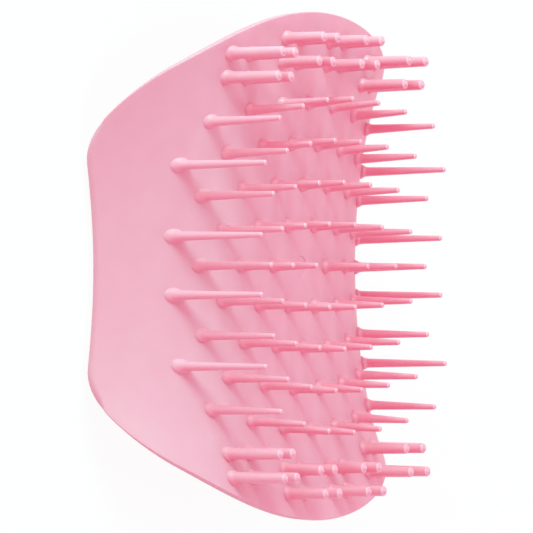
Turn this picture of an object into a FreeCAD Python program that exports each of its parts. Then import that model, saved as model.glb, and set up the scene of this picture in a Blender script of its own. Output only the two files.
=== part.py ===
import FreeCAD, Part
import math
import os

from FreeCAD import Vector

# Scalp massager brush: a saddle-shaped palm brush in two nested moulded shells, with 98 teeth.
# X runs across the hand, Y along it and Z out through the teeth. The brush lies on the lower
# edges of its two wings, which stand on Z = 0, and it is symmetric about X = 0 and Y = 0.

# Rim outline, seen along Z
LENGTH = 95.0            # tip to tip of the two rounded ends
WAIST_WIDTH = 78.2       # across the narrowest place, where thumb and fingers hold
END_RADIUS = 58.0        # of the broad arc at each end
WAIST_RADIUS = 95.0      # of the hollow arc at each side
CORNER_RADIUS = 18.0     # of the arc that joins a side to an end

# Saddle of the tooth side
CROWN_RADIUS = 129.0     # curvature across the middle of the pad
ARCH_DROP = 19.6         # fall of the rim below the pad centre, at the waist
SADDLE_RADIUS = 241.0    # curvature along the middle of the pad, ends rising
END_ARCH = 0.25          # share of the arch that is left at the two ends

# Shells
PLATE_WALL = 1.3         # tooth plate
COVER_WALL = 1.1         # palm cover, nested under the plate
GATE_DIAMETER = 3.8      # round mark in the middle of the pad
GATE_DEPTH = 0.15
PIN_DIAMETER = 2.4       # locating pins under the plate
PIN_LENGTH = 0.6
PIN_CLEARANCE = 0.1      # of the cover's sockets, around and below a pin
PIN_CENTRE_Y = 14.0      # the two pins on the centre line
PIN_CORNER_X = 15.0      # the four pins towards the corners
PIN_CORNER_Y = 27.0

# Tips: all of them lie on spheres that fit a scalp
SCALP_RADIUS = 175.0
FINE_HEIGHT = 9.6        # top of a fine tooth above the pad, at the pad centre
MASSAGE_SET_BACK = 2.4   # massage tips lie this much lower than the fine ones

# Fine teeth: nine bowed rows, one behind the other staggered by half a pitch
ROW_PITCH = 7.62
COLUMN_PITCH = 8.5
ROWS_EACH_SIDE = 4       # beside the middle row
TEETH_IN_LONG_ROW = 8
BOW_RADIUS = 400.0       # of the middle row, were it bowed; row n beside it is n + 1 times tighter
ROW_LEAN = 0.8           # degrees that a row leans outwards, for each row from the middle
FINE_ROOT = 1.8          # diameters
FINE_TIP = 1.0
FINE_FOOT = 2.9

# Massage teeth: clusters of two by two, four clusters at each end
INNER_CLUSTER_X = 7.2
INNER_CLUSTER_INSET = 7.5    # from the end of the plate to the middle of the cluster
OUTER_CLUSTER_X = 21.3
OUTER_CLUSTER_INSET = 10.8
CLUSTER_PITCH_X = 4.8
CLUSTER_PITCH_Y = 4.4
MASSAGE_ROOT = 2.2       # diameters
MASSAGE_TIP = 1.9
MASSAGE_FOOT = 3.5

# Feet of the teeth
FOOT_EDGE = 0.2          # straight edge of the flared collar, along the pad's normal
FOOT_ANGLE = 38.0        # degrees, of the flat cone above that edge, which runs into the shaft

# Modelling
SKIN_MARGIN = 4.0        # how far the untrimmed skins run past the rim
SKIN_POINTS = 25         # along each side of a skin
ARC_POINTS = 8           # along each arc of a quarter of the rim
OVERLAP = 1.5            # how far cutting and joining bodies run past a face


def arch(x):
    """Fall of the section across the pad: a circle's parabola plus a fourth power for the wings."""
    half = WAIST_WIDTH / 2
    wing = (ARCH_DROP - half ** 2 / (2 * CROWN_RADIUS)) / half ** 4
    fall = x ** 2 / (2 * CROWN_RADIUS) + wing * x ** 4
    slope = x / CROWN_RADIUS + 4 * wing * x ** 3
    return fall, slope


def saddle(x, y):
    """Height of the tooth side over the pad centre, and its slopes along X and Y."""
    fade = (1 - END_ARCH) / (LENGTH / 2) ** 2
    fall, slope = arch(x)
    height = y ** 2 / (2 * SADDLE_RADIUS) - fall * (1 - fade * y ** 2)
    slope_x = -slope * (1 - fade * y ** 2)
    slope_y = y / SADDLE_RADIUS + 2 * fade * y * fall
    return height, slope_x, slope_y


def pad_normal(x, y):
    height, slope_x, slope_y = saddle(x, y)
    return Vector(-slope_x, -slope_y, 1).normalize()


def skin_point(x, y, depth):
    """The point that lies depth below the tooth side, square to it."""
    return Vector(x, y, saddle(x, y)[0]) - pad_normal(x, y) * depth


def skin_face(depth):
    """Untrimmed face that follows the saddle at one depth."""
    half_x = WAIST_WIDTH / 2 + SKIN_MARGIN
    half_y = LENGTH / 2 + SKIN_MARGIN
    share = [2 * i / (SKIN_POINTS - 1) - 1 for i in range(SKIN_POINTS)]
    surface = Part.BSplineSurface()
    surface.interpolate([[skin_point(half_x * i, half_y * j, depth) for j in share] for i in share])
    return surface.toShape()


def slab(front, back):
    """Untrimmed solid between two depths."""
    upper, lower = skin_face(front), skin_face(back)
    sides = [Part.makeRuledSurface(a, b) for a, b in zip(upper.Edges, lower.Edges)]
    solid = Part.Solid(Part.Shell([upper, lower] + sides))
    solid.fix(1e-6, 1e-6, 1e-6)
    return solid


def corner_centre():
    """Centre of the corner arc that touches the waist arc from outside and the end arc from inside."""
    waist = Vector(WAIST_WIDTH / 2 + WAIST_RADIUS, 0, 0)
    end = Vector(0, LENGTH / 2 - END_RADIUS, 0)
    to_waist = WAIST_RADIUS + CORNER_RADIUS
    to_end = END_RADIUS - CORNER_RADIUS
    line = waist - end
    along = (to_end ** 2 - to_waist ** 2 + line.Length ** 2) / (2 * line.Length)
    aside = math.sqrt(to_end ** 2 - along ** 2)
    line.normalize()
    return end + line * along + Vector(-line.y, line.x, 0) * aside, waist, end


def arc_points(centre, radius, start, end):
    """Points on an arc from one angle to another, without the last one."""
    angles = [start + (end - start) * i / ARC_POINTS for i in range(ARC_POINTS)]
    return [(centre.x + radius * math.cos(a), centre.y + radius * math.sin(a)) for a in angles]


def rim_quarter():
    """The outline's quarter with X and Y above 0, from the waist to the end."""
    corner, waist, end = corner_centre()
    join_waist = math.atan2(corner.y - waist.y, corner.x - waist.x)
    join_end = math.atan2(corner.y - end.y, corner.x - end.x)
    points = arc_points(waist, WAIST_RADIUS, math.pi, join_waist)
    points += arc_points(corner, CORNER_RADIUS, join_waist - math.pi, join_end)
    return points + arc_points(end, END_RADIUS, join_end, math.pi / 2)


def rim_outline():
    """The whole outline, once round, as plan points."""
    quarter = rim_quarter()
    tip = (0, LENGTH / 2)
    half = quarter + [tip] + [(-x, y) for x, y in reversed(quarter[1:])]
    return half + [(-x, -y) for x, y in half]


def rim_wall(front, back):
    """Ring through the rim, square to the saddle, from one depth to another."""
    outline = rim_outline()
    share = [i / len(outline) for i in range(len(outline) + 1)]
    edges = []
    for depth in (front, back):
        curve = Part.BSplineCurve()
        points = [skin_point(x, y, depth) for x, y in outline]
        curve.interpolate(Points=points, Parameters=share, PeriodicFlag=True)
        edges.append(curve.toShape())
    return Part.makeRuledSurface(*edges)


def shell_wall(front, back):
    """The saddle between two depths, trimmed to the rim."""
    pieces = slab(front, back).generalFuse([rim_wall(front - OVERLAP, back + OVERLAP)])[0].Solids
    inside = skin_point(0, 0, (front + back) / 2)
    return next(piece for piece in pieces if piece.isInside(inside, OVERLAP / 100, False))


def pin_places():
    places = [skin_point(0, side * PIN_CENTRE_Y, PLATE_WALL) for side in (-1, 1)]
    for x in (-PIN_CORNER_X, PIN_CORNER_X):
        places += [skin_point(x, side * PIN_CORNER_Y, PLATE_WALL) for side in (-1, 1)]
    return places


def post(place, diameter, below, above):
    """Upright cylinder that runs from below a place to above it."""
    return Part.makeCylinder(diameter / 2, below + above, place - Vector(0, 0, below))


def tooth_plate():
    """Front shell: the pad, both wings, the gate mark and the locating pins behind."""
    plate = shell_wall(0, PLATE_WALL)
    bury = PLATE_WALL / 2
    for place in pin_places():
        plate = plate.fuse(post(place, PIN_DIAMETER, PIN_LENGTH, bury))
    return plate.cut(post(Vector(0, 0, 0), GATE_DIAMETER, GATE_DEPTH, OVERLAP))


def palm_cover():
    """Back shell, bare and smooth towards the palm, with a blind socket for each pin."""
    cover = shell_wall(PLATE_WALL, PLATE_WALL + COVER_WALL)
    bore = PIN_DIAMETER + 2 * PIN_CLEARANCE
    for place in pin_places():
        cover = cover.cut(post(place, bore, PIN_LENGTH + PIN_CLEARANCE, OVERLAP))
    return cover


def tip_height(x, y, set_back):
    """Top of a tooth: a sphere of the scalp's radius that opens upwards over the pad."""
    sphere = SCALP_RADIUS - math.sqrt(SCALP_RADIUS ** 2 - x ** 2 - y ** 2)
    return FINE_HEIGHT - set_back + sphere


def turned(profile, centre, axis):
    """Solid of revolution from a closed list of edges."""
    return Part.Face(Part.Wire(profile)).revolve(centre, axis, 360)


def shaft(x, y, top, root, tip, lean):
    """Tapered shaft with a domed tip, its root sunk below the pad.

    It is turned upright, then leans towards +Y by some degrees about its root.
    """
    base = saddle(x, y)[0]
    sunk = Vector(x, y, base - OVERLAP)
    corners = [sunk, sunk + Vector(root / 2, 0, 0), Vector(x + root / 2, y, base)]
    shoulder = Vector(x + tip / 2, y, top - tip / 2)
    halfway = Vector(math.cos(math.pi / 4), 0, math.sin(math.pi / 4)) * (tip / 2)
    dome = Part.Arc(shoulder, Vector(x, y, top - tip / 2) + halfway, Vector(x, y, top))
    lines = [Part.makeLine(a, b) for a, b in zip(corners, corners[1:] + [shoulder])]
    lines += [dome.toShape(), Part.makeLine(Vector(x, y, top), sunk)]
    upright = turned(lines, sunk, Vector(0, 0, 1))
    return upright.rotated(Vector(x, y, base), Vector(1, 0, 0), -lean)


def foot(x, y, width):
    """Flared collar that stands square on the pad, its skirt sunk below it."""
    normal = pad_normal(x, y)
    rise = width / 2 * math.tan(math.radians(FOOT_ANGLE))
    skirt = Part.makeCylinder(width / 2, OVERLAP + FOOT_EDGE, skin_point(x, y, OVERLAP), normal)
    return skirt.fuse(Part.makeCone(width / 2, 0, rise, skin_point(x, y, -FOOT_EDGE), normal))


def tooth(x, y, set_back, root, tip, foot_width, core, lean=0.0):
    top = tip_height(x, y, set_back)
    body = shaft(x, y, top, root, tip, lean).fuse(foot(x, y, foot_width))
    return body.cut(core).Solids[0]


def row_places(number):
    """Tooth places of one row, counted from the straight middle row, which is number 0.

    Rows with an even number hold a tooth less, and the others bow towards the middle row.
    """
    count = TEETH_IN_LONG_ROW - (number + 1) % 2
    side = (number > 0) - (number < 0)
    places = []
    for i in range(count):
        x = COLUMN_PITCH * (i - (count - 1) / 2)
        bow = (abs(number) + 1) * x ** 2 / (2 * BOW_RADIUS)
        places.append((x, number * ROW_PITCH - side * bow))
    return places


def fine_row(number, core):
    """The fine teeth of one row. None stands on the gate mark."""
    places = [(x, y) for x, y in row_places(number) if math.hypot(x, y) > GATE_DIAMETER]
    lean = ROW_LEAN * number
    return [tooth(x, y, 0, FINE_ROOT, FINE_TIP, FINE_FOOT, core, lean) for x, y in places]


def massage_cluster(x, y, core):
    teeth = []
    for side_x in (-1, 1):
        for side_y in (-1, 1):
            at_x = x + side_x * CLUSTER_PITCH_X / 2
            at_y = y + side_y * CLUSTER_PITCH_Y / 2
            teeth.append(tooth(at_x, at_y, MASSAGE_SET_BACK, MASSAGE_ROOT, MASSAGE_TIP,
                               MASSAGE_FOOT, core))
    return teeth


def cluster_places():
    """Middles of the four clusters at the far end, left wing last, then the four at the near end."""
    outer = (OUTER_CLUSTER_X, LENGTH / 2 - OUTER_CLUSTER_INSET)
    inner = (INNER_CLUSTER_X, LENGTH / 2 - INNER_CLUSTER_INSET)
    far_end = [outer, inner] + [(-x, y) for x, y in (inner, outer)]
    return far_end + [(x, -y) for x, y in far_end]


def rest_depth():
    """How far the pad centre stands over the lowest edge of the palm cover's wings."""
    back = PLATE_WALL + COVER_WALL
    return -min(skin_point(x, y, back).z for x, y in rim_outline())


def main():
    os.makedirs("parts", exist_ok=True)
    nodes = {"tooth_plate": tooth_plate(), "palm_cover": palm_cover()}
    core = slab(0, PLATE_WALL + COVER_WALL + OVERLAP)
    for i in range(2 * ROWS_EACH_SIDE + 1):
        row = fine_row(ROWS_EACH_SIDE - i, core)
        nodes[f"fine_teeth_row_{i + 1}"] = Part.Compound(row)
    for i, (x, y) in enumerate(cluster_places()):
        nodes[f"massage_teeth_{i + 1}"] = Part.Compound(massage_cluster(x, y, core))
    lift = rest_depth()
    for name, shape in nodes.items():
        shape.translate(Vector(0, 0, lift))
        shape.exportStep(f"parts/{name}.step")
        print(name, len(shape.Solids), "solids", round(shape.Volume, 1), "mm3", shape.isValid())
    print("pad centre above the rest plane:", round(lift, 3), "mm")


main()
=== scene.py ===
# %% [markdown]
# # A scalp massager brush
# The real object is a palm brush: a pink saddle of moulded plastic, hollow underneath for the
# palm, with 98 blunt teeth on its upper side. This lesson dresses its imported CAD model.
# The model is loaded as a fixed frame, and each of its nodes is then replaced by a finer
# surface that stands in the same place. So everything below is worked out in the model's own
# frame: X runs across the hand, Y along it, and Z out through the teeth.

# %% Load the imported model
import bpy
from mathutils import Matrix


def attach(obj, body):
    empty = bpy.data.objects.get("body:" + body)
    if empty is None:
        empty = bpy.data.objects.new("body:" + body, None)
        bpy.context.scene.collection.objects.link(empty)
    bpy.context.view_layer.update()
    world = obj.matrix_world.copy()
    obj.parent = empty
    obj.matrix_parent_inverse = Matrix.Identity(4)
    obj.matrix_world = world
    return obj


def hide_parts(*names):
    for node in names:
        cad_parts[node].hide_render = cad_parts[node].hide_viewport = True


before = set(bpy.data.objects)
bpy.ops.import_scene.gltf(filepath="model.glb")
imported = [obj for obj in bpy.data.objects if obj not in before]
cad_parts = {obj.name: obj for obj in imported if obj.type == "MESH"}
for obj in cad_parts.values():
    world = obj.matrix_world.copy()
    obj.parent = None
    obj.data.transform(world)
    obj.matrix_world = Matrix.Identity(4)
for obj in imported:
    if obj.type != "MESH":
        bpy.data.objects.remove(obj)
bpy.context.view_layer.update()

import math

import bpy
import numpy as np
from mathutils import Matrix

MM = 0.001

# %% [markdown]
# ## The saddle
# The tooth side of the brush is one doubly curved face. Across the hand it arches like a hood,
# and along the hand its ends rise a little. A formula for its height gives everything else:
# its slopes, the direction that stands square on it, and every point at some depth below it.
# A subdivision cage could also be pushed into this shape. A formula is exact, though, and it
# tells each tooth where it stands.

# %% Driving sizes of the two shells, in millimetres
LENGTH = 95.0             # along the hand, from end to end
WAIST_WIDTH = 78.2        # across the narrowest place
END_RADIUS = 58.0         # of the broad arc at each end, seen from above
WAIST_RADIUS = 95.0       # of the hollow arc at each side
CORNER_RADIUS = 18.0
CROWN_RADIUS = 129.0      # of the arch across the hand, at its top
ARCH_DROP = 19.6          # from the pad's centre down to the waist's edge
SADDLE_RADIUS = 241.0     # of the rise along the hand
END_ARCH = 0.25           # share of the arch that is left at the two ends
PLATE_WALL = 1.3
COVER_WALL = 1.1
WALL = PLATE_WALL + COVER_WALL
print("the two shells are", round(WALL, 2), "mm thick together")


# %% Height and slopes of the saddle
def saddle(x, y):
    """Height over the pad centre and both slopes.

    height = y squared / (2 saddle radius) - fall(x) times fade(y), where fall is a parabola
    plus a fourth power, and fade drops from 1 at the waist to the end arch at the two ends.
    """
    half = WAIST_WIDTH / 2
    wing = (ARCH_DROP - half ** 2 / (2 * CROWN_RADIUS)) / half ** 4
    fall = x ** 2 / (2 * CROWN_RADIUS) + wing * x ** 4
    steepness = x / CROWN_RADIUS + 4 * wing * x ** 3
    loss = (1 - END_ARCH) / (LENGTH / 2) ** 2
    fade = 1 - loss * y ** 2
    return (y ** 2 / (2 * SADDLE_RADIUS) - fall * fade, -steepness * fade,
            y / SADDLE_RADIUS + 2 * loss * y * fall)


print("the waist's edge lies", round(-saddle(WAIST_WIDTH / 2, 0.0)[0], 2), "mm down")


# %% Square to the saddle
def square_up(x, y):
    """Unit vector that stands square on the saddle: (-slope x, -slope y, 1), made length 1."""
    slopes = saddle(x, y)[1:]
    up = np.stack([-slopes[0], -slopes[1], np.ones_like(slopes[0])], -1)
    return up / np.linalg.norm(up, axis=-1, keepdims=True)


def under(x, y, depth):
    """Point at a depth below the saddle, measured square to it."""
    on_face = np.stack([x, y, saddle(x, y)[0]], -1)
    return on_face - square_up(x, y) * np.asarray(depth)[..., None]


print("square to the pad's centre:", square_up(0.0, 0.0).tolist())

# %% [markdown]
# ## The rim
# Seen from above, the outline is eight arcs that touch one another: a hollow one at each side,
# where thumb and fingers hold, a broad one at each end, and a small one at each corner. A
# Bezier curve could trace it too, but arcs are how such a mould is drawn, and their rays are
# the outward directions that the edge needs. One quarter is worked out as centres, radii and
# turning angles, and the rest is its mirror image.

# %% Outline of one quarter
def rim_quarter(spacing=1.0):
    """Plan points and outward directions from the waist to the end, evenly spaced on each arc.

    The corner arc's centre lies where two circles cross: one about the waist arc's centre,
    larger by the corner's radius, and one about the end arc's centre, smaller by it.
    """
    waist = np.array([WAIST_WIDTH / 2 + WAIST_RADIUS, 0.0])
    end = np.array([0.0, LENGTH / 2 - END_RADIUS])
    line = waist - end
    gap = np.hypot(*line)
    line = line / gap
    to_waist, to_end = WAIST_RADIUS + CORNER_RADIUS, END_RADIUS - CORNER_RADIUS
    along = (to_end ** 2 - to_waist ** 2 + gap ** 2) / (2 * gap)
    aside = math.sqrt(to_end ** 2 - along ** 2)
    corner = end + line * along + np.array([-line[1], line[0]]) * aside
    turn_waist = math.atan2(*(corner - waist)[::-1])
    turn_end = math.atan2(*(corner - end)[::-1])
    arcs = [(waist, WAIST_RADIUS, math.pi, turn_waist, -1),
            (corner, CORNER_RADIUS, turn_waist - math.pi, turn_end, 1),
            (end, END_RADIUS, turn_end, math.pi / 2, 1)]
    places, outward = [], []
    for centre, radius, first, last, side in arcs:
        steps = int(abs(last - first) * radius / spacing)
        angle = first + (last - first) * np.arange(steps) / steps
        ray = np.stack([np.cos(angle), np.sin(angle)], -1)
        places.append(centre + radius * ray)
        outward.append(side * ray)
    return np.concatenate(places), np.concatenate(outward)


print("corner of the rim stands out to", round(rim_quarter()[0][:, 0].max(), 2), "mm")

# %% Outline of the whole rim
def rim_loop(spacing=1.0):
    """The quarter and its three mirror images, once round and anticlockwise."""
    place, outward = rim_quarter(spacing)
    end_point = np.array([[0.0, LENGTH / 2]])
    end_outward = np.array([[0.0, 1.0]])
    flip = np.array([-1.0, 1.0])
    place = np.concatenate([place, end_point, (place * flip)[:0:-1]])
    outward = np.concatenate([outward, end_outward, (outward * flip)[:0:-1]])
    return np.concatenate([place, -place]), np.concatenate([outward, -outward])


RIM, RIM_OUT = rim_loop()
LIFT = -under(RIM[:, 0], RIM[:, 1], np.full(len(RIM), WALL))[:, 2].min()
print(len(RIM), "rim points; pad centre stands", round(LIFT, 3), "mm above the floor")

# %% [markdown]
# ## One way to make a skin
# Every piece of this brush is a stack of closed rings between two poles: a shell runs from the
# middle of its back, round the rim, to the middle of its front, and a tooth runs from inside
# the plate up to its tip. Lofts and spins could each do some of this. Rings of points do all
# of it, so one function turns them into a mesh. The faces run anticlockwise when seen from
# outside, and the poles close both ends, so the mesh is watertight.


# %% Rings to mesh
def skin_of_rings(name, rings, poles, body, slot, *nodes, painted_highlight=None):
    """A smooth closed mesh from stacks of rings, as many points round in each.

    rings is (stacks, rings, points round, 3) in mm, bottom ring first and anticlockwise from
    above. poles is (stacks, 2, 3), the points that close bottom and top. Four neighbouring
    points of two rings make a face, and a fan of triangles joins the end rings to their poles.
    painted_highlight, one value for each ring, is an attribute that the material paints pale.
    """
    stacks, count, around = rings.shape[:3]
    each = count * around + 2
    step = np.arange(around)
    turn = (step + 1) % around
    low = np.arange(count - 1)[:, None] * around
    quads = np.stack([low + step, low + turn, low + around + turn, low + around + step], -1)
    last = (count - 1) * around
    fan_low = np.stack([np.full(around, each - 2), turn, step], -1)
    fan_high = np.stack([np.full(around, each - 1), last + step, last + turn], -1)
    loops = np.concatenate([quads.ravel(), fan_low.ravel(), fan_high.ravel()])
    sizes = np.repeat([4, 3], [(count - 1) * around, 2 * around])
    shift = np.arange(stacks)[:, None] * each
    loops = (loops[None] + shift).ravel()
    starts = np.concatenate([[0], np.cumsum(np.tile(sizes, stacks))[:-1]])
    points = np.concatenate([rings.reshape(stacks, -1, 3), poles], 1).reshape(-1, 3) * MM
    mesh = bpy.data.meshes.new(name)
    mesh.vertices.add(len(points))
    mesh.vertices.foreach_set("co", points.ravel())
    mesh.loops.add(len(loops))
    mesh.loops.foreach_set("vertex_index", loops)
    mesh.polygons.add(len(starts))
    mesh.polygons.foreach_set("loop_start", starts)
    mesh.polygons.foreach_set("use_smooth", np.ones(len(starts), bool))
    mesh.update(calc_edges=True)
    # The painted highlight's strength, ring by ring, goes to the material.
    if painted_highlight is not None:
        shine = np.tile(np.append(np.repeat(painted_highlight, around), [0, 0]), stacks)
        mesh.attributes.new("painted_highlight", "FLOAT", "POINT").data.foreach_set("value", shine)
    piece = bpy.data.objects.new(name, mesh)
    bpy.context.scene.collection.objects.link(piece)
    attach(piece, body)
    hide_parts(*nodes)
    print(name, len(points), "points,", len(starts), "faces")
    return piece


# %% [markdown]
# ## Materials
# The whole brush is polypropylene, coloured pink in the mass and moulded in tools whose steel
# was roughened by sparks. That gives the eye a satin face with a broad, weak gloss, and at the
# edges a little light goes through. A flat colour would look like paper, so three faint things
# are laid over it: a slow mottle, as pigment never spreads evenly, a few specks of dust, and
# the grain as a bump. The round edge of each tip gets a pale ring of painted highlight. The
# teeth are the plate's own plastic, painted a lighter pink for their brightly lit sides.


# %% Colours
def colour(hexadecimal):
    """sRGB hex to the linear colour that a shader takes."""
    srgb = np.array([int(hexadecimal[i:i + 2], 16) for i in (1, 3, 5)]) / 255
    linear = np.where(srgb <= 0.04045, srgb / 12.92, ((srgb + 0.055) / 1.055) ** 2.4)
    return (*linear.tolist(), 1.0)


PINK = "#F5A2B8"
PINK_DEEP = "#F29BB2"     # the mottle's other end
# The two tooth pinks are the plate's own plastic, painted lighter for the bright lit sides of the
# teeth.
TOOTH_PINK_PAINTED_LIGHTER = "#FEA9C0"    # painted lighter than the plate, for the teeth's brightly lit sides
TOOTH_DEEP_PAINTED_LIGHTER = "#FCA0B8"
PAINTED_TIP_HIGHLIGHT = "#FFDCE6"     # painted highlight on the round edge of a tip
SPECK = "#DD93A6"
print("pink, linear:", [round(part, 3) for part in colour(PINK)[:3]])

# %% Real sizes of the plastic's patterns, in millimetres
MOTTLE = 4.0
GRAIN = 0.45              # spark-eroded grain is near 0.05 mm, too fine to show: drawn coarser
GRAIN_HEIGHT = 0.02
GRAIN_STRENGTH = 0.12
SPECK_SPACING = 7.0
SPECK_RADIUS = 0.022      # as a share of the spacing
SPECK_SHARE = 0.45        # of the cells hold a speck
SCATTER_DEPTH = (0.8, 0.3, 0.4)     # that red, green and blue light goes on average
SCATTER_WEIGHT = 0.1
PLASTIC_IOR = 1.49        # of polypropylene
GLOSS = 0.6               # a little more than the plain 0.5, for the moulded skin
print("a speck is", round(2 * SPECK_SPACING * SPECK_RADIUS, 2), "mm wide")


# %% One node at a time
def add(tree, kind, links=(), settings=(), **sockets):
    """Add a node: settings are its own properties, sockets its values, links feed its inputs."""
    node = tree.nodes.new(kind)
    for key, value in dict(settings).items():
        setattr(node, key, value)
    for key, value in sockets.items():
        node.inputs[key.replace("_", " ")].default_value = value
    for key, source in dict(links).items():
        tree.links.new(source, node.inputs[key])
    return node


# %% Satin moulded polypropylene
def satin_plastic(name, base, deep, roughness):
    """Pink polypropylene from a spark-eroded mould.

    To the eye: satin, with a soft mottle, few specks, a fine grain, and pale rings of painted
    highlight on the tips.
    """
    material = bpy.data.materials.new(name)
    material.use_nodes = True
    tree = material.node_tree
    tree.nodes.clear()
    place = add(tree, "ShaderNodeTexCoord").outputs["Object"]
    mottle = add(tree, "ShaderNodeTexNoise", {"Vector": place},
                 Scale=1 / (MOTTLE * MM), Detail=3.0)
    tint = add(tree, "ShaderNodeMix", {"Factor": mottle.outputs["Fac"]}, {"data_type": "RGBA"})
    tint.inputs[6].default_value = colour(base)
    tint.inputs[7].default_value = colour(deep)
    # Painted highlight: a pale ring on the round edge of each tip, where the attribute is 1.
    painted_highlight = add(tree, "ShaderNodeAttribute", (), {"attribute_name": "painted_highlight"}).outputs["Fac"]
    ringed = add(tree, "ShaderNodeMix", {"Factor": painted_highlight, 6: tint.outputs[2]},
                 {"data_type": "RGBA"})
    ringed.inputs[7].default_value = colour(PAINTED_TIP_HIGHLIGHT)
    cells = add(tree, "ShaderNodeTexVoronoi", {"Vector": place},
                Scale=1 / (SPECK_SPACING * MM))
    near = add(tree, "ShaderNodeMath", {0: cells.outputs["Distance"]},
               {"operation": "LESS_THAN"})
    near.inputs[1].default_value = SPECK_RADIUS
    few = add(tree, "ShaderNodeMath", {0: cells.outputs["Color"]}, {"operation": "LESS_THAN"})
    few.inputs[1].default_value = SPECK_SHARE
    speck = add(tree, "ShaderNodeMath", {0: near.outputs[0], 1: few.outputs[0]},
                {"operation": "MULTIPLY"})
    specked = add(tree, "ShaderNodeMix", {"Factor": speck.outputs[0], 6: ringed.outputs[2]},
                  {"data_type": "RGBA"})
    specked.inputs[7].default_value = colour(SPECK)
    grain = add(tree, "ShaderNodeTexNoise", {"Vector": place},
                Scale=1 / (GRAIN * MM), Detail=2.0)
    bump = add(tree, "ShaderNodeBump", {"Height": grain.outputs["Fac"]},
               Strength=GRAIN_STRENGTH, Distance=GRAIN_HEIGHT * MM)
    shader = add(tree, "ShaderNodeBsdfPrincipled",
                 {"Base Color": specked.outputs[2], "Normal": bump.outputs["Normal"]},
                 Roughness=roughness, IOR=PLASTIC_IOR, Subsurface_Weight=SCATTER_WEIGHT,
                 Subsurface_Radius=SCATTER_DEPTH, Subsurface_Scale=MM,
                 Specular_IOR_Level=GLOSS)
    add(tree, "ShaderNodeOutputMaterial", {"Surface": shader.outputs["BSDF"]})
    print(name, "has", len(tree.nodes), "nodes")
    return material


plate_plastic = satin_plastic("satin_moulded_polypropylene_plate", PINK, PINK_DEEP, 0.5)
cover_plastic = satin_plastic("satin_moulded_polypropylene_cover", PINK, PINK_DEEP, 0.45)
# Painted light: the teeth take the lighter painted pinks, for their brightly lit sides.
tooth_plastic = satin_plastic("satin_polypropylene_teeth_painted_lighter", TOOTH_PINK_PAINTED_LIGHTER, TOOTH_DEEP_PAINTED_LIGHTER, 0.36)

# %% [markdown]
# ## The two shells
# The tooth plate lies on the palm cover, and the two meet in a hairline seam round the rim.
# A flat sheet with Solidify and Bevel would give one edge all round. The real edge changes:
# it is fully round where the hand holds the waist, and past a small notch the ends are
# crisper. So each shell is a stack of rings. Those near the rim follow a profile of insets
# and depths, and the rest shrink towards the round gate mark in the middle of the pad.

# %% The profile of the rim
EDGE_RADIUS = 0.3         # crisp front edge of the ends
DRAFT = 0.28              # how far the plate's side falls back, for each mm of depth
SEAM = 0.06               # half width and depth of the hairline seam
GRIP_INSET = 0.2          # how far the rounded grip edge stands back from the crisp one
NOTCH_Y = 26.0            # where the rounded grip edge gives way to the crisp edge of the ends
NOTCH_LENGTH = 0.6        # along which it gives way
RIM_STEPS = 23            # rings round the rim's profile


def ease(value, low, high):
    """0 below low, 1 above high, and a smooth step between."""
    share = np.clip((value - low) / (high - low), 0, 1)
    return share * share * (3 - 2 * share)


def rim_inset(depth, crisp):
    """Inset of the rim's side at a depth.

    A round edge is a half circle through the whole wall. A crisp one has a small quarter
    circle at the front, falls back down the plate by its draft, and leaves by a quarter circle
    as large as the cover's wall. crisp goes from 0 to 1.
    """
    middle = WALL / 2
    round_edge = middle - np.sqrt(np.maximum(middle ** 2 - (depth - middle) ** 2, 0))
    near = np.maximum(EDGE_RADIUS - depth, 0)
    sharp_edge = EDGE_RADIUS - np.sqrt(np.maximum(EDGE_RADIUS ** 2 - near ** 2, 0))
    behind = np.clip(depth - PLATE_WALL, 0, COVER_WALL)
    sharp_edge = sharp_edge + DRAFT * np.minimum(depth, PLATE_WALL)
    sharp_edge = sharp_edge + COVER_WALL - np.sqrt(np.maximum(COVER_WALL ** 2 - behind ** 2, 0))
    seam = SEAM * np.exp(-((depth - PLATE_WALL) / SEAM) ** 2)
    return (1 - crisp) * (round_edge + GRIP_INSET) + crisp * sharp_edge + seam


print("inset at the seam, rounded and crisp, mm:",
      [round(float(rim_inset(PLATE_WALL, crisp)), 3) for crisp in (0, 1)])

# %% Places beside the rim
def rim_frame():
    """Unit vectors at each rim point: inwards along the face.

    The plan direction outwards, less its part square to the face, made length 1 and turned.
    """
    up = square_up(RIM[:, 0], RIM[:, 1])
    out = np.concatenate([RIM_OUT, np.zeros((len(RIM), 1))], 1)
    out = out - up * (out * up).sum(1, keepdims=True)
    return -out / np.linalg.norm(out, axis=1, keepdims=True)


def at_rim(inset, depth):
    """Points at an inset from the rim, along the face, and a depth below it."""
    inward = rim_frame()
    x = RIM[:, 0] + inward[:, 0] * inset
    y = RIM[:, 1] + inward[:, 1] * inset
    return under(x, y, np.broadcast_to(depth, x.shape))


print("inwards, the face rises by up to", round(float(rim_frame()[:, 2].max()), 2), "mm a mm")

# %% The field of the pad, with its gate mark
BAND = 3.0                # width of the border whose rings run parallel to the rim
BAND_INSETS = (1.7, 2.2, BAND)
GATE_RADIUS = 1.9
GATE_DEPTH = 0.21
GATE_STEP = (GATE_RADIUS - 0.12, GATE_RADIUS + 0.08)
GATE_CIRCLES = [0.5, 1.0, 1.5, 1.7, 1.78, 1.82, 1.86, 1.9, 1.94, 1.98, 2.06, 2.3]
FIELD_SHARES = np.linspace(0, 1, 42)[1:-1] ** 1.1    # a little closer together near the mark


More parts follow.
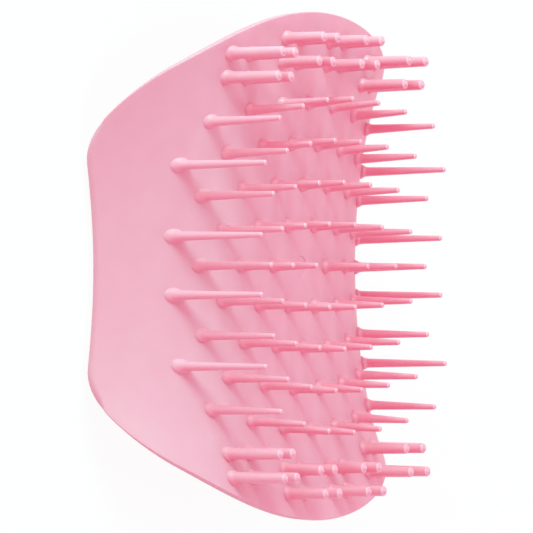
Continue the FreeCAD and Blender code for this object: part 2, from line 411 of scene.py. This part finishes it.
def field(depth_of):
    """Rings from near the middle to the border: circles round the gate mark, then wider ones.

    Past the last circle, a ring lies a share of the way from that circle to the border.
    """
    border = RIM + rim_frame()[:, :2] * BAND
    reach = np.linalg.norm(border, axis=1)
    ray = border / reach[:, None]
    radii = [np.full(reach.shape, radius) for radius in GATE_CIRCLES]
    radii += [radii[-1] + (reach - radii[-1]) * share for share in FIELD_SHARES]
    return [under(*(ray * radius[:, None]).T, depth_of(radius)) for radius in radii]


print(len(GATE_CIRCLES), "circles round the gate mark,", len(FIELD_SHARES), "rings beyond")

# %% A shell from pole to pole
def shell(name, front, back, gate, slot, node):
    """A closed shell between two depths of the saddle.

    Its rings go outwards over the back, round the rim from back to front, and inwards again
    over the front, which dips by the gate's depth inside the mark. Depths round the rim are
    spaced as (1 - cos(angle)) / 2, so that they crowd where the edge turns.
    """
    crisp = ease(np.abs(RIM[:, 1]), NOTCH_Y - NOTCH_LENGTH, NOTCH_Y)
    rings = field(lambda radius: np.full(radius.shape, back))
    rings += [at_rim(inset, back) for inset in BAND_INSETS[::-1]]
    turn = (1 - np.cos(np.linspace(0, math.pi, RIM_STEPS))) / 2
    rings += [at_rim(rim_inset(depth, crisp), depth) for depth in back + (front - back) * turn]
    rings += [at_rim(inset, front) for inset in BAND_INSETS]
    rings += field(lambda radius: front + gate * (1 - ease(radius, *GATE_STEP)))[::-1]
    rings = np.stack(rings)[None]
    ends = np.array([[under(np.zeros(1), np.zeros(1), np.array([back]))[0],
                      under(np.zeros(1), np.zeros(1), np.array([front + gate]))[0]]])
    rings[..., 2] += LIFT
    ends[..., 2] += LIFT
    return skin_of_rings(name, rings, ends, "root", slot, node)


# %% Tooth plate and palm cover
SHELL_GAP = 0.02          # between the two faces that touch

plate = shell("tooth_plate_skin", 0.0, PLATE_WALL, GATE_DEPTH, "plate_plastic", "tooth_plate")
plate.data.materials.append(plate_plastic)
cover = shell("palm_cover_skin", PLATE_WALL + SHELL_GAP, WALL, 0.0, "cover_plastic", "palm_cover")
cover.data.materials.append(cover_plastic)

# %% [markdown]
# ## The teeth
# Nine bowed rows of fine tapered teeth stand on the pad, and four clusters of thick massage
# teeth at each end. A tooth stands upright on a pad that slopes under it. Its foot is a low
# dome that runs into a tapered shaft, and its tip is nearly flat, with a small round edge.
# A spun profile could not lie on the slope, so the rings tilt: at the foot they lie in the
# pad's plane, and a few millimetres up they are square to the tooth. Seen along the shaft,
# each foot then looks like a pear, as the real ones do.

# %% Sizes of the teeth, in millimetres
SCALP_RADIUS = 175.0             # of the sphere on which the tips of the fine teeth lie
FINE_HEIGHT = 9.6                # of that sphere above the pad's centre
MASSAGE_SET_BACK = 2.4           # how much lower the massage tips end
ROW_PITCH = 7.62
COLUMN_PITCH = 8.5
TEETH_IN_LONG_ROW = 8
ROWS_EACH_SIDE = 4               # of the middle row
BOW_RADIUS = 400.0               # a row's bow is this radius, over its number plus one
ROW_LEAN = math.radians(0.8)     # outwards, for each row from the middle one
LEAN_REACH = 31.0                # distance from the middle where the lean has died out
FINE = {"root": 1.75, "tip": 1.0, "foot": 2.75, "dome": 1.25}      # diameters, and how high
MASSAGE = {"root": 2.2, "tip": 1.9, "foot": 2.9, "dome": 1.0}      # the foot's dome reaches
FINE_TIP_HIGHLIGHT, MASSAGE_TIP_HIGHLIGHT = 1.0, 0.5     # strength of the painted highlight on the edge of the tip
print("tapers, mm:", [round(kind["root"] - kind["tip"], 2) for kind in (FINE, MASSAGE)])

# %% The profile of a tooth
DOME_HEIGHTS = [0.25, 0.37, 0.5, 0.62, 0.75, 0.87, 1.0, 1.2, 1.4, 1.7, 2.0]
DOME_WIDTHS = [0.95, 0.86, 0.73, 0.57, 0.4, 0.28, 0.18, 0.1, 0.05, 0.02, 0.0]
SHAFT_SHARES = [0.06, 0.14, 0.25, 0.4, 0.6, 0.8, 0.93, 1.0]
SHAFT_FIT = 0.99          # the shaft starts at this share of its root
FOOT_RINGS = [(-0.35, 0.6), (-0.3, 1.0), (0.02, 1.0), (0.14, 0.995)]   # mm above pad, width
TIP_EDGE = 0.35           # radius of the tip's edge, as a share of the tip's radius
TIP_BULGE = 0.4           # how far its flat end bulges, likewise
EDGE_ANGLES = np.linspace(0.1, 1, 6) * math.pi / 2    # of the rings round the tip's edge
HIGHLIGHT_ANGLES = (0.5, 0.8)     # angles, in radians, between which that edge gets the painted highlight
TIP_SHARES = (0.93, 0.7, 0.4)      # rings of the tip's flat end, as shares of its radius


def tooth_profile(root, tip, foot, dome):
    """Heights and radii from inside the plate to just below the tip's pole.

    A height is a pair: millimetres above the pad, and the share of the tooth's length that is
    added, so one profile fits short and long teeth. The foot is a dome whose width beyond the
    shaft falls from 1 to 0. The shaft is a straight line from root to tip. The tip's edge is a
    quarter circle, and its end a shallow parabola. The second list is the painted highlight on
    that edge.
    """
    wide, thin, end = foot / 2, root / 2, tip / 2
    rows = [(high, 0, wide * share) for high, share in FOOT_RINGS]
    rows += [(high * dome, 0, thin * SHAFT_FIT + (wide - thin) * share)
             for high, share in zip(DOME_HEIGHTS, DOME_WIDTHS)]
    start = DOME_HEIGHTS[-1] * dome
    edge, bulge = end * TIP_EDGE, end * TIP_BULGE
    for share in SHAFT_SHARES:
        rows.append((start * (1 - share) - (edge + bulge) * share, share,
                     thin * SHAFT_FIT * (1 - share) + end * share))
    # The painted highlight: 1 on the part of the tip's edge between the two angles, else 0.
    painted_highlight = [0.0] * len(rows)
    for angle in EDGE_ANGLES:
        rows.append((edge * (math.sin(angle) - 1) - bulge, 1, end - edge * (1 - math.cos(angle))))
        painted_highlight.append(1.0 if HIGHLIGHT_ANGLES[0] < angle < HIGHLIGHT_ANGLES[1] else 0.0)
    for share in TIP_SHARES:
        rows.append((-bulge * share ** 2, 1, (end - edge) * share))
        painted_highlight.append(0.0)
    return np.array(rows), np.array(painted_highlight)


print("a fine tooth has", len(tooth_profile(**FINE)[0]), "rings")

# %% Rings of upright teeth on a sloping pad
UPRIGHT = (0.5, 3.0)      # mm above the pad, between which the rings turn square to the tooth


def tooth_rings(x, y, set_back, root, tip, foot, dome, lean=0.0, around=24):
    """Rings of teeth at places x, y, and their poles. The teeth lean towards +Y.

    A ring is a plan circle that is sheared up and down: its half axes are (1, 0, slope x * tilt)
    and (0, 1, slope y * tilt - tan(lean)). Tilt is 1 at the foot, which so lies flat on the
    pad, and dies out with height. The middles of the rings run straight up the leaning axis.
    The lean fades to nothing at the two wings: lean * (1 - (x / LEAN_REACH) squared).
    """
    base, slope_x, slope_y = saddle(x, y)
    top = FINE_HEIGHT - set_back + SCALP_RADIUS - np.sqrt(SCALP_RADIUS ** 2 - x ** 2 - y ** 2)
    length = top - base
    profile, painted_highlight = tooth_profile(root, tip, foot, dome)
    height = profile[:, 0] + profile[:, 1] * length[:, None]
    lean = lean * (1 - (x / LEAN_REACH) ** 2)
    tilt = 1 - ease(height, *UPRIGHT)
    none, one = np.zeros_like(tilt), np.ones_like(tilt)
    axis_x = np.stack([one, none, slope_x[:, None] * tilt], -1)
    axis_y = np.stack([none, one, slope_y[:, None] * tilt - np.tan(lean)[:, None]], -1)
    shaft = np.stack([np.zeros_like(x), np.sin(lean), np.cos(lean)], -1)
    stand = np.stack([x, y, base], -1)
    middle = stand[:, None] + height[..., None] * shaft[:, None]
    angle = np.arange(around) * 2 * math.pi / around
    radius = profile[None, :, 2, None, None]
    rings = middle[:, :, None] + radius * (axis_x[:, :, None] * np.cos(angle)[:, None]
                                           + axis_y[:, :, None] * np.sin(angle)[:, None])
    poles = np.stack([middle[:, 0], stand + length[:, None] * shaft], 1)
    rings[..., 2] += LIFT
    poles[..., 2] += LIFT
    return rings, poles, painted_highlight


# %% Fine teeth, row by row
def row_places(number):
    """Places of a row, counted from the middle one. Every second row holds a tooth less.

    y = number * pitch, less x squared times (number + 1) / (2 bow radius), so that rows bow
    more towards the ends. A tooth that would stand on the gate mark is left out.
    """
    count = TEETH_IN_LONG_ROW - (number + 1) % 2
    x = COLUMN_PITCH * (np.arange(count) - (count - 1) / 2)
    y = number * ROW_PITCH - np.sign(number) * (abs(number) + 1) * x ** 2 / (2 * BOW_RADIUS)
    clear = np.hypot(x, y) > 2 * GATE_RADIUS
    return x[clear], y[clear]


for row in range(1, 2 * ROWS_EACH_SIDE + 2):
    number = ROWS_EACH_SIDE + 1 - row
    x, y = row_places(number)
    rings, poles, painted_highlight = tooth_rings(x, y, 0.0, lean=ROW_LEAN * number, **FINE)
    teeth = skin_of_rings(f"fine_row_{row}", rings, poles, "root", "tooth_plastic",
                          f"fine_teeth_row_{row}", painted_highlight=painted_highlight * FINE_TIP_HIGHLIGHT)
    teeth.data.materials.append(tooth_plastic)

# %% Massage teeth, cluster by cluster
INNER_X, OUTER_X = 7.2, 21.3             # middles of the clusters
INNER_Y, OUTER_Y = LENGTH / 2 - 7.5, LENGTH / 2 - 10.8
CLUSTERS = [(OUTER_X, OUTER_Y), (INNER_X, INNER_Y), (-INNER_X, INNER_Y), (-OUTER_X, OUTER_Y)]
CLUSTERS += [(x, -y) for x, y in CLUSTERS]
CLUSTER_PITCH = (4.8, 4.4)

for number, (x, y) in enumerate(CLUSTERS, 1):
    x = x + CLUSTER_PITCH[0] / 2 * np.array([-1, -1, 1, 1])
    y = y + CLUSTER_PITCH[1] / 2 * np.array([-1, 1, -1, 1])
    rings, poles, painted_highlight = tooth_rings(x, y, MASSAGE_SET_BACK, **MASSAGE)
    teeth = skin_of_rings(f"massage_cluster_{number}", rings, poles, "root", "tooth_plastic",
                          f"massage_teeth_{number}", painted_highlight=painted_highlight * MASSAGE_TIP_HIGHLIGHT)
    teeth.data.materials.append(tooth_plastic)

# %% [markdown]
# ## Floor and background
# The brush lies on matt white paper in a white room. A bright lamp on the paper would wash the
# brush out, so the white is painted instead: rays from the camera, and rays that a piece
# mirrors or lets through, see white, while all other rays see what really lights the brush.
# The paper keeps a little of its own shading, and so the shadow of the brush.


# %% Rays that see the white background
def sees_background(tree):
    """1 for a ray from the camera, or one mirrored or let through by a piece, and else 0."""
    path = add(tree, "ShaderNodeLightPath")
    mirrored = add(tree, "ShaderNodeMath", {0: path.outputs["Is Camera Ray"],
                                            1: path.outputs["Is Glossy Ray"]},
                   {"operation": "MAXIMUM"})
    return add(tree, "ShaderNodeMath", {0: mirrored.outputs[0],
                                        1: path.outputs["Is Transmission Ray"]},
               {"operation": "MAXIMUM"}).outputs[0]


# %% Floor of matt white paper
FLOOR_REACH = 1.5         # metres from the brush to the paper's edge
FLOOR_WHITE = 0.94        # share of painted white in what the camera sees
grid = np.linspace(-FLOOR_REACH, FLOOR_REACH, 3)
floor_mesh = bpy.data.meshes.new("floor")
corners = [(x, y, 0.0) for y in grid for x in grid]
tiles = [(i, i + 1, i + 4, i + 3) for i in (0, 1, 3, 4)]
floor_mesh.from_pydata(corners, [], tiles)
floor = bpy.data.objects.new("floor", floor_mesh)
bpy.context.scene.collection.objects.link(floor)

# Matt paper: to the eye an even white without gloss.
paper = bpy.data.materials.new("matt_white_paper")
paper.use_nodes = True
tree = paper.node_tree
tree.nodes.clear()
share = add(tree, "ShaderNodeMath", {0: sees_background(tree)}, {"operation": "MULTIPLY"})
share.inputs[1].default_value = FLOOR_WHITE
matt = add(tree, "ShaderNodeBsdfDiffuse", Color=colour("#F4F4F4"))
glow = add(tree, "ShaderNodeEmission", Color=colour("#FFFFFF"), Strength=1.0)
mixed = add(tree, "ShaderNodeMixShader", {0: share.outputs[0], 1: matt.outputs[0],
                                          2: glow.outputs[0]})
add(tree, "ShaderNodeOutputMaterial", {"Surface": mixed.outputs[0]})
floor_mesh.materials.append(paper)
print("floor of", len(tiles), "tiles,", 2 * FLOOR_REACH, "m wide")

# %% [markdown]
# ## Light
# Between the teeth of a pink brush, light goes from pink wall to pink wall, and the shade turns
# a stronger pink than the lit faces. Deep scattering in the plastic could do that, but it
# blurs the feet. Here the sky is tinted pink and the lamps lean the other way, to green and
# white: where both reach, the colour comes out about as it is written, and where only the sky
# reaches, it deepens. The key lamp stands over the far left shoulder, and four weaker ones
# fill the far end, the top, the right and the near end.

# %% Sky
SKY = (0.80, 0.19, 0.33)
world = bpy.data.worlds.new("studio")
bpy.context.scene.world = world
world.use_nodes = True
tree = world.node_tree
tree.nodes.clear()
tint = add(tree, "ShaderNodeMix", {"Factor": sees_background(tree)}, {"data_type": "RGBA"})
tint.inputs[6].default_value = (*SKY, 1.0)
tint.inputs[7].default_value = (1.0, 1.0, 1.0, 1.0)
sky = add(tree, "ShaderNodeBackground", {"Color": tint.outputs[2]}, Strength=1.0)
add(tree, "ShaderNodeOutputWorld", {"Surface": sky.outputs[0]})
print("sky lights with", SKY)

# %% Softboxes
BOX_DISTANCE = 0.7                   # metres from the pad's centre
SOFTBOXES = {                        # where from, diameter in metres, light it adds
    "key": ((-0.50, 0.80, 0.32), 0.30, (0.18, 1.03, 0.79)),
    "far": ((-0.10, 0.85, 0.50), 0.34, (0.08, 0.23, 0.20)),
    "top": ((0.05, 0.00, 1.00), 0.34, (0.03, 0.39, 0.34)),
    "back": ((0.85, -0.25, 0.46), 0.34, (0.09, 0.13, 0.12)),
    "near": ((-0.05, -0.85, 0.52), 0.34, (0.03, 0.18, 0.16)),
}

for name, (towards, size, light) in SOFTBOXES.items():
    lamp = bpy.data.lights.new(name + "_softbox", "AREA")
    lamp.shape = "DISK"
    lamp.size = size
    # A lamp of (pi * distance) squared watts lights a white face that looks at it to level 1.
    lamp.energy = max(light) * (math.pi * BOX_DISTANCE) ** 2
    lamp.color = [part / max(light) for part in light]
    direction = np.array(towards) / np.linalg.norm(towards)
    side = np.cross([0.0, 1.0, 0.0], direction)
    side /= np.linalg.norm(side)
    turn = np.stack([side, np.cross(direction, side), direction], 1)
    spot = direction * BOX_DISTANCE + np.array([0.0, 0.0, LIFT * MM])
    box = bpy.data.objects.new(name + "_softbox", lamp)
    bpy.context.scene.collection.objects.link(box)
    box.matrix_world = Matrix.LocRotScale(spot, Matrix(turn.tolist()).to_quaternion(), None)
    print(name, "softbox,", round(lamp.energy, 2), "W")

# %% [markdown]
# ## Camera
# The brush is seen from over its left wing, a little above the pad, with a long lens from
# nearly a metre away, so that its lines stay almost parallel.

# %% Camera
CAMERA_TILT = math.radians(55.0)     # from straight above the pad, towards the left wing
CAMERA_TURN = -0.01004               # radians, a small nod about the view's level axis
CAMERA_ROLL = 0.003993               # radians, a small roll about the line of sight
CAMERA_SHIFT = (6.428, 0.046)        # mm, of the pad's centre from the middle of the view
CAMERA_DISTANCE = 936.9              # mm
FOCAL_LENGTH = 337.7                 # mm, on a sensor of the next width
SENSOR_WIDTH = 36.0


def turned(angle, first, second):
    """Rotation of one axis towards another: cosines on the diagonal, sines beside it."""
    matrix = np.eye(3)
    matrix[first, first] = matrix[second, second] = math.cos(angle)
    matrix[first, second] = -math.sin(angle)
    matrix[second, first] = math.sin(angle)
    return matrix


aim = (turned(CAMERA_ROLL, 0, 1) @ turned(CAMERA_TURN, 1, 2) @ turned(CAMERA_TILT, 2, 0)).T
eye = aim @ np.array([-CAMERA_SHIFT[0], -CAMERA_SHIFT[1], CAMERA_DISTANCE])
eye = (eye + np.array([0, 0, LIFT])) * MM
lens = bpy.data.cameras.new("camera")
lens.sensor_width = SENSOR_WIDTH
lens.lens = FOCAL_LENGTH
lens.clip_start = 0.05
lens.clip_end = 10.0
camera = bpy.data.objects.new("camera", lens)
bpy.context.scene.collection.objects.link(camera)
camera.matrix_world = Matrix.LocRotScale(eye, Matrix(aim.tolist()).to_quaternion(), None)
bpy.context.scene.camera = camera
bpy.context.scene.view_settings.view_transform = "Standard"
print("camera at", [round(v, 4) for v in eye])
